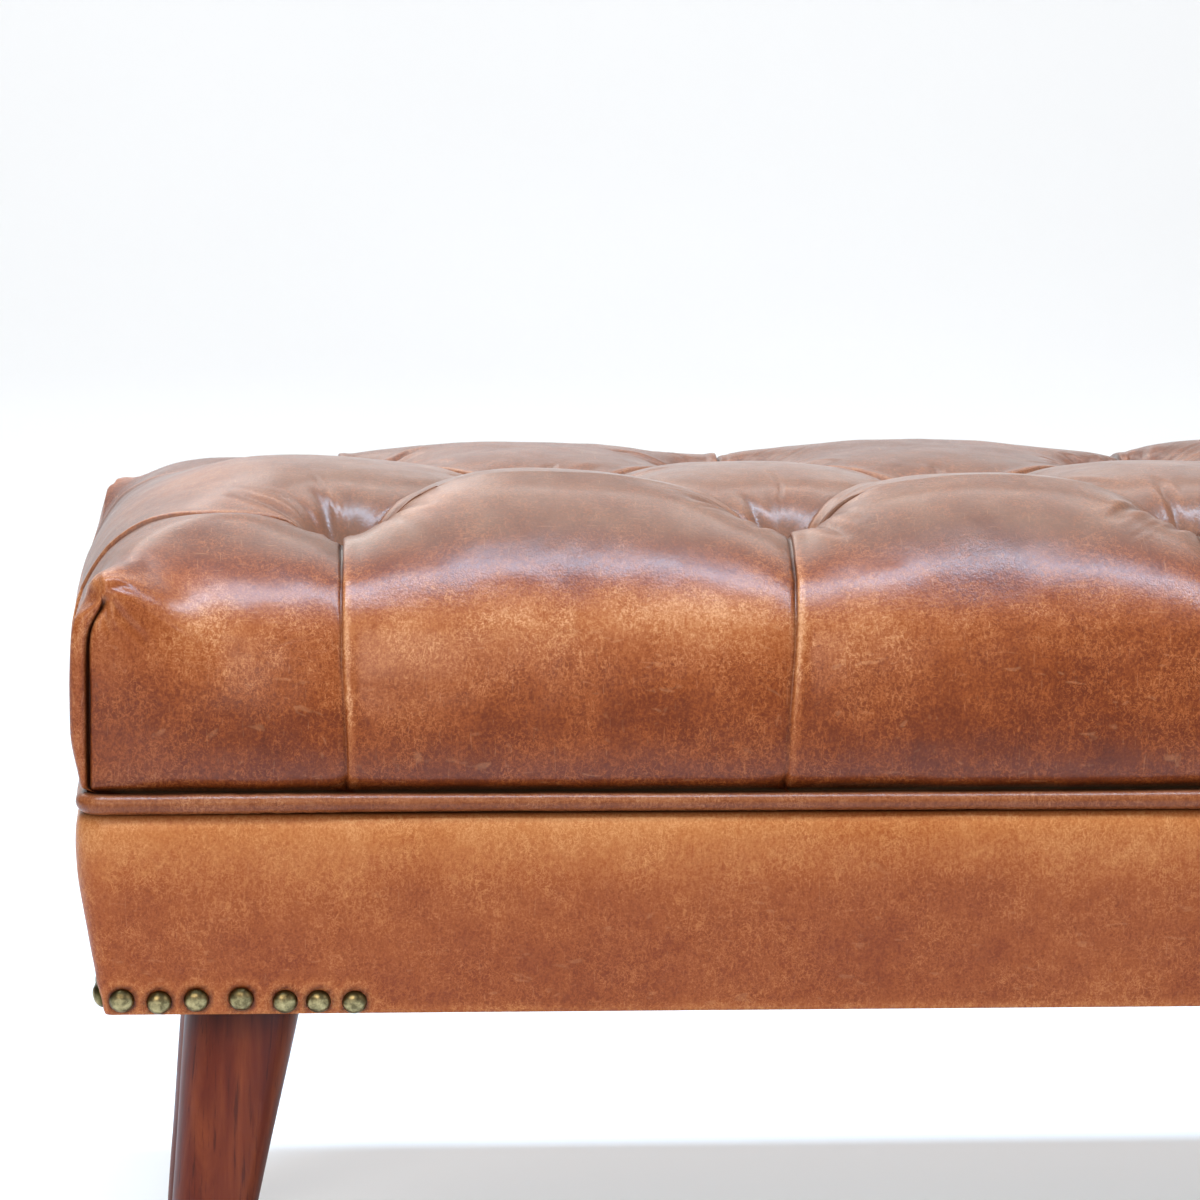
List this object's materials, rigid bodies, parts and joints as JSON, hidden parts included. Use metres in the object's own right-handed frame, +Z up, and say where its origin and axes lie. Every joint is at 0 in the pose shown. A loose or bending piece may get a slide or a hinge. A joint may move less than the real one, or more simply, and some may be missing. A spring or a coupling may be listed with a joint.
{
  "type": "upholstered bench",
  "caption": "Long backless bench with a deep-tufted leather seat cushion, piped leather box band with dome nails at its corners, and splayed tapered round wooden legs.",
  "frame": {"origin": "on the floor, under the centre of the bench", "axes": "+X along the bench's length, the front face towards -Y, +Z up"},
  "size_m": [1.1346, 0.418, 0.45],
  "materials": {
    "seat_leather": "satin",
    "band_leather": "satin",
    "piping_leather": "satin",
    "leg_wood": "satin",
    "frame_wood": "matte",
    "plywood": "matte",
    "steel": "satin",
    "nail_brass": "satin",
    "glide_nylon": "matte",
    "dust_cloth": "matte",
    "foam": "matte",
    "wadding": "matte",
    "piping_cord": "matte",
    "twine": "matte",
    "anchor_fibre": "matte"
  },
  "bodies": {
    "root": {"button_twine": "twine", "corner_block_screws": "steel", "deck_screws": "steel", "dust_cover": "dust_cloth", "dust_cover_staples": "steel", "front_band_cover": "band_leather", "front_band_padding": "wadding", "front_left_corner_block": "frame_wood", "front_left_leg": "leg_wood", "front_left_leg_plate": "steel", "front_left_nails": "nail_brass", "front_piping": "piping_leather", "front_piping_cord": "piping_cord", "front_rail": "frame_wood", "front_right_corner_block": "frame_wood", "front_right_leg": "leg_wood", "front_right_leg_plate": "steel", "front_right_nails": "nail_brass", "left_band_cover": "band_leather", "left_band_padding": "wadding", "left_cross_rail": "frame_wood", "left_end_rail": "frame_wood", "left_piping": "piping_leather", "left_piping_cord": "piping_cord", "leg_glides": "glide_nylon", "leg_hanger_bolts": "steel", "leg_plate_screws": "steel", "rail_dowels": "frame_wood", "rear_band_cover": "band_leather", "rear_band_padding": "wadding", "rear_left_corner_block": "frame_wood", "rear_left_leg": "leg_wood", "rear_left_leg_plate": "steel", "rear_left_nails": "nail_brass", "rear_piping": "piping_leather", "rear_piping_cord": "piping_cord", "rear_rail": "frame_wood", "rear_right_corner_block": "frame_wood", "rear_right_leg": "leg_wood", "rear_right_leg_plate": "steel", "rear_right_nails": "nail_brass", "right_band_cover": "band_leather", "right_band_padding": "wadding", "right_cross_rail": "frame_wood", "right_end_rail": "frame_wood", "right_piping": "piping_leather", "right_piping_cord": "piping_cord", "seat_cover": "seat_leather", "seat_deck": "plywood", "seat_foam": "foam", "seat_wadding": "wadding", "tufting_buttons": "seat_leather", "twine_anchors": "anchor_fibre"}
  },
  "joints": []
}
